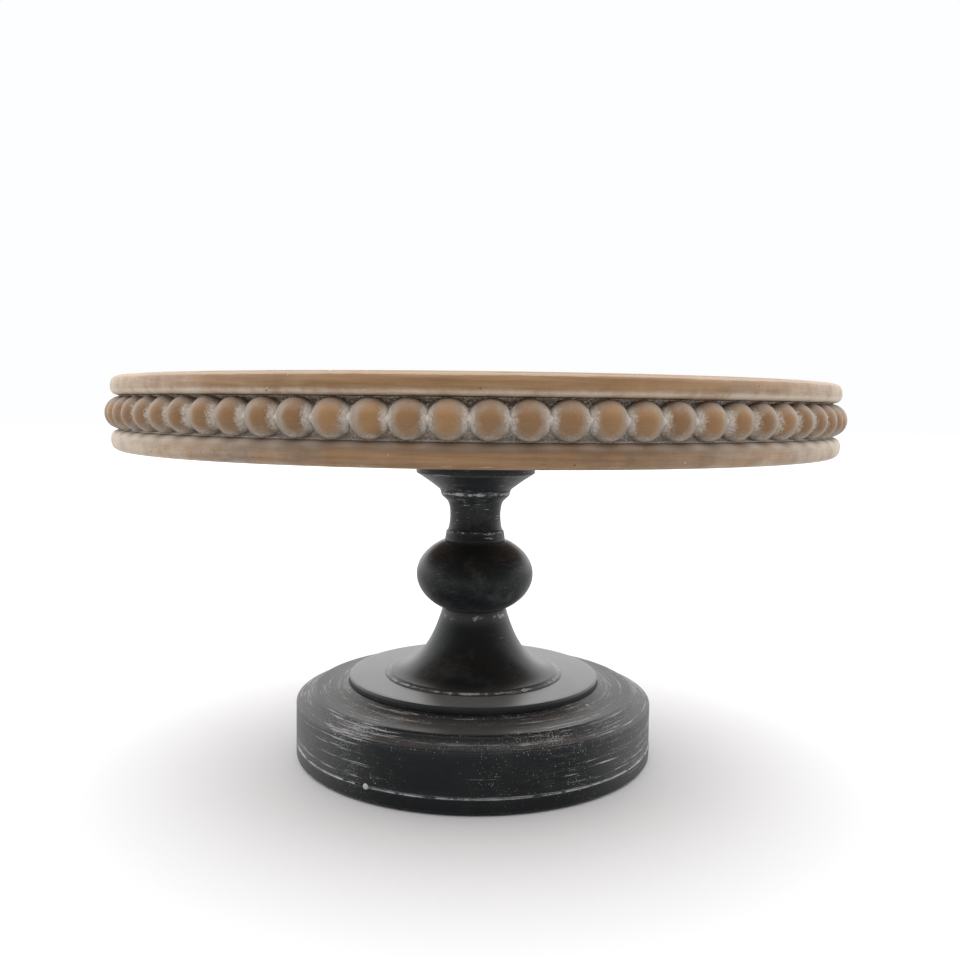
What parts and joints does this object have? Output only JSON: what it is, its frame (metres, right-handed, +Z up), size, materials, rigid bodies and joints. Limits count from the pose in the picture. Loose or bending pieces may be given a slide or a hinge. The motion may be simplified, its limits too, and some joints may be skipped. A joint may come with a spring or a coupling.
{
  "type": "cake stand",
  "caption": "Round pedestal cake stand: flat plate with a beaded rim, on a turned pedestal with a ball knop and a stepped round base.",
  "frame": {"origin": "centre of the plane that the stand rests on, under its felt pads", "axes": "+Z up along the axis that every turned piece shares; -Y is the front, where one bead is centred; +X to the right"},
  "size_m": [0.3046, 0.3048, 0.1625],
  "materials": {
    "whitewashed_wood": "matt pale whitewash rubbed back to warm brown wood, white left in the hollows between the beads",
    "black_painted_wood": "satin black paint, edges rubbed through and lightly streaked with white",
    "zinc_steel": "zinc plated",
    "felt": "pressed black felt"
  },
  "bodies": {
    "root": {"top_board": "whitewashed_wood", "core_board": "whitewashed_wood", "bottom_board": "whitewashed_wood", "bead_strand_1": "whitewashed_wood", "bead_strand_2": "whitewashed_wood", "bead_strand_3": "whitewashed_wood", "bead_strand_4": "whitewashed_wood", "bead_strand_5": "whitewashed_wood", "bead_strand_6": "whitewashed_wood", "capital": "black_painted_wood", "ball_knop": "black_painted_wood", "bell_foot": "black_painted_wood", "base_top_disc": "black_painted_wood", "base_plinth": "black_painted_wood", "base_bottom_board": "black_painted_wood", "tie_rod": "zinc_steel", "tee_nut": "zinc_steel", "washer": "zinc_steel", "hex_nut": "zinc_steel", "felt_pad_1": "felt", "felt_pad_2": "felt", "felt_pad_3": "felt", "felt_pad_4": "felt"}
  },
  "joints": []
}
